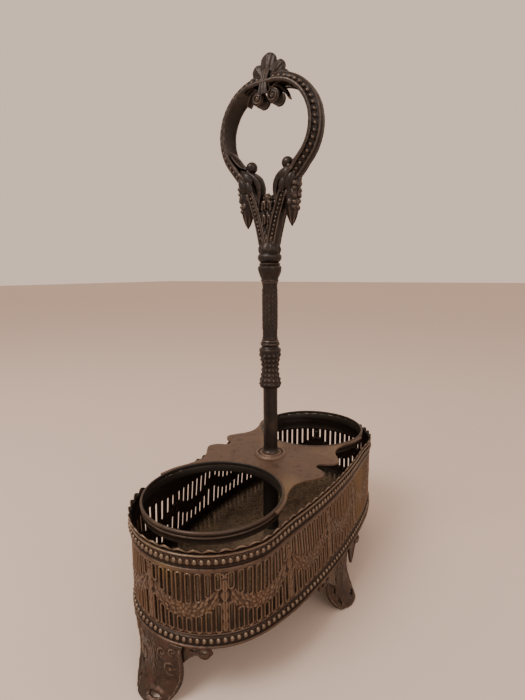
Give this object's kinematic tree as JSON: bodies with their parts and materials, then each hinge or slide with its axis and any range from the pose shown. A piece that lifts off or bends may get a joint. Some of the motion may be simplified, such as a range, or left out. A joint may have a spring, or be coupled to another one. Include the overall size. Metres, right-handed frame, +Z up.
{
  "type": "cruet stand",
  "caption": "Oval pierced-gallery cruet stand on bracket feet, with ring collars for jars and a tall central stem ending in an ornamental carrying loop.",
  "frame": {"origin": "on the table, under the middle of the stand", "axes": "+Z up along the stem; X runs through the two rings; Y runs across the stand, in the plane of the carrying loop"},
  "size_m": [0.22, 0.1174, 0.313],
  "materials": {
    "gallery_metal": "stamped sheet brass, worn and tarnished to a warm brown",
    "border_metal": "beaded border, tarnished with pale worn high points",
    "floor_metal": "flat sheet, semi-gloss brown",
    "dark_metal": "blackened brass",
    "foot_metal": "cast and tarnished",
    "plate_metal": "flat sheet, dull brown with worn patches",
    "collar_metal": "rolled sheet, dark inside with a worn rim",
    "handle_metal": "cast, near-black brown with lighter worn edges",
    "hardware_metal": "dull steel"
  },
  "bodies": {
    "stand": {"gallery_end_near": "gallery_metal", "gallery_end_far": "gallery_metal", "gallery_side_left": "gallery_metal", "gallery_side_right": "gallery_metal", "lower_moulding": "border_metal", "upper_moulding": "border_metal", "crest": "border_metal", "floor_plate": "floor_metal", "pillar": "dark_metal", "foot_near": "foot_metal", "foot_far": "foot_metal", "foot_left": "foot_metal", "foot_right": "foot_metal"},
    "bridge": {"bridge_plate": "plate_metal", "collar_near": "collar_metal", "collar_far": "collar_metal", "rolled_rim_near": "collar_metal", "rolled_rim_far": "collar_metal", "stem_flange": "plate_metal"},
    "rod": {"tie_rod": "hardware_metal"},
    "handle": {"stem_tube": "handle_metal", "ribbed_sleeve": "handle_metal", "neck_ring": "handle_metal", "engraved_shaft": "handle_metal", "lower_knop": "handle_metal", "upper_knop": "handle_metal", "fork": "handle_metal", "handle_loop": "handle_metal", "shell_finial": "handle_metal", "crown_scroll_left": "handle_metal", "crown_scroll_right": "handle_metal", "volute_ball_left": "handle_metal", "volute_ball_right": "handle_metal", "grape_drop_left": "handle_metal", "grape_drop_right": "handle_metal"},
    "washer": {"base_washer": "hardware_metal"},
    "nut": {"base_nut": "hardware_metal"}
  },
  "joints": [
    {"name": "bridge_lift", "type": "slide", "parent": "stand", "child": "bridge", "axis": [0, 0, 1], "range_m": [0, 0.06]},
    {"name": "rod_lift", "type": "slide", "parent": "bridge", "child": "rod", "axis": [0, 0, 1], "range_m": [0, 0.06]},
    {"name": "handle_turn", "type": "hinge", "parent": "rod", "child": "handle", "pos_m": [0, 0, 0.11], "axis": [0, 0, 1], "continuous": true},
    {"name": "washer_drop", "type": "slide", "parent": "stand", "child": "washer", "axis": [0, 0, -1], "range_m": [0, 0.0064]},
    {"name": "nut_turn", "type": "hinge", "parent": "washer", "child": "nut", "pos_m": [0, 0, 0.028], "axis": [0, 0, -1], "range_deg": [0, 2880]}
  ],
  "couplings": [
    {"joint": "nut_turn", "follows": "washer_drop", "rad_per_m": 7854}
  ]
}
